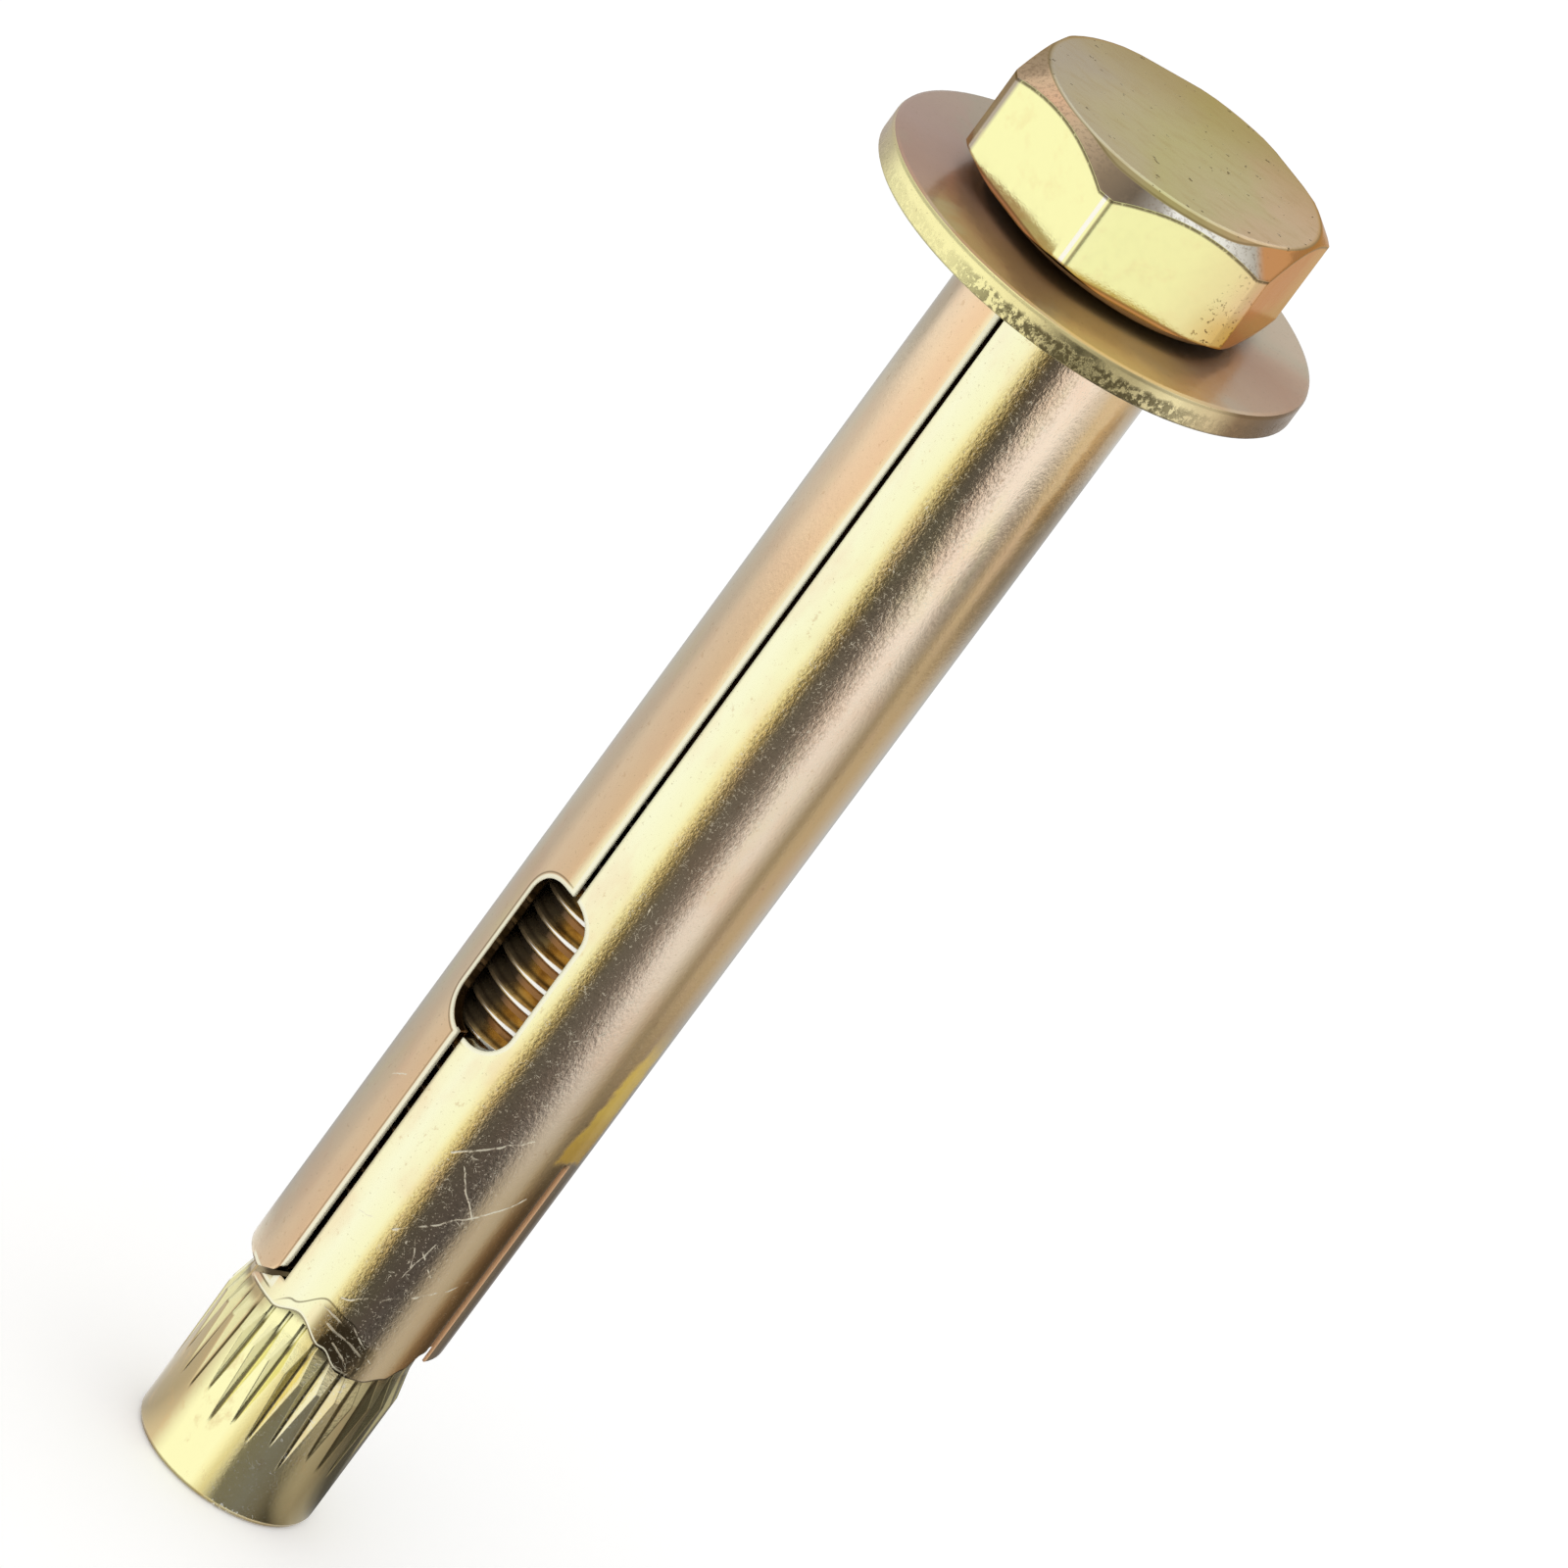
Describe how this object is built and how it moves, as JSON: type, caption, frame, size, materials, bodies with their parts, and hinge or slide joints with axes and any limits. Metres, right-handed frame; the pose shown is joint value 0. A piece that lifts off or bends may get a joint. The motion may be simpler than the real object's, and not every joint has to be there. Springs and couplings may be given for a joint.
{
  "type": "sleeve anchor",
  "caption": "Hexagon-head sleeve anchor: bolt, flat washer, seamed expansion sleeve with an oblong window and slit leaves, and a splined cone nut.",
  "frame": {"origin": "centre of the cone nut's flat end, on the anchor's axis, at the lowest point", "axes": "+Z along the anchor's axis from the cone nut to the bolt's head; -Y is the side with the seam's tongue and window, as the picture sees it"},
  "size_m": [0.0258, 0.0258, 0.0932],
  "materials": {
    "nut_zinc": "bright yellow zinc, rolled splines",
    "sleeve_zinc": "satin yellow zinc with pink and gold tints",
    "washer_zinc": "satin yellow zinc, sheared rim",
    "bolt_zinc": "satin yellow zinc, worn silver at the head's chamfer"
  },
  "bodies": {
    "nut": {"cone_nut": "nut_zinc"},
    "sleeve": {"sleeve": "sleeve_zinc"},
    "bolt": {"hex_bolt": "bolt_zinc"},
    "washer": {"washer": "washer_zinc"}
  },
  "joints": [
    {"name": "sleeve_draw", "type": "slide", "parent": "nut", "child": "sleeve", "axis": [0, 0, 1], "range_m": [0, 0.009]},
    {"name": "bolt_turn", "type": "hinge", "parent": "sleeve", "child": "bolt", "pos_m": [0, 0, 0.09], "axis": [0, 0, 1], "range_deg": [0, 2160]},
    {"name": "washer_spin", "type": "hinge", "parent": "sleeve", "child": "washer", "pos_m": [-0.00045, 0, 0.0852], "axis": [0, 0, 1], "continuous": true}
  ],
  "couplings": [
    {"joint": "bolt_turn", "follows": "sleeve_draw", "rad_per_m": 4188.8}
  ]
}
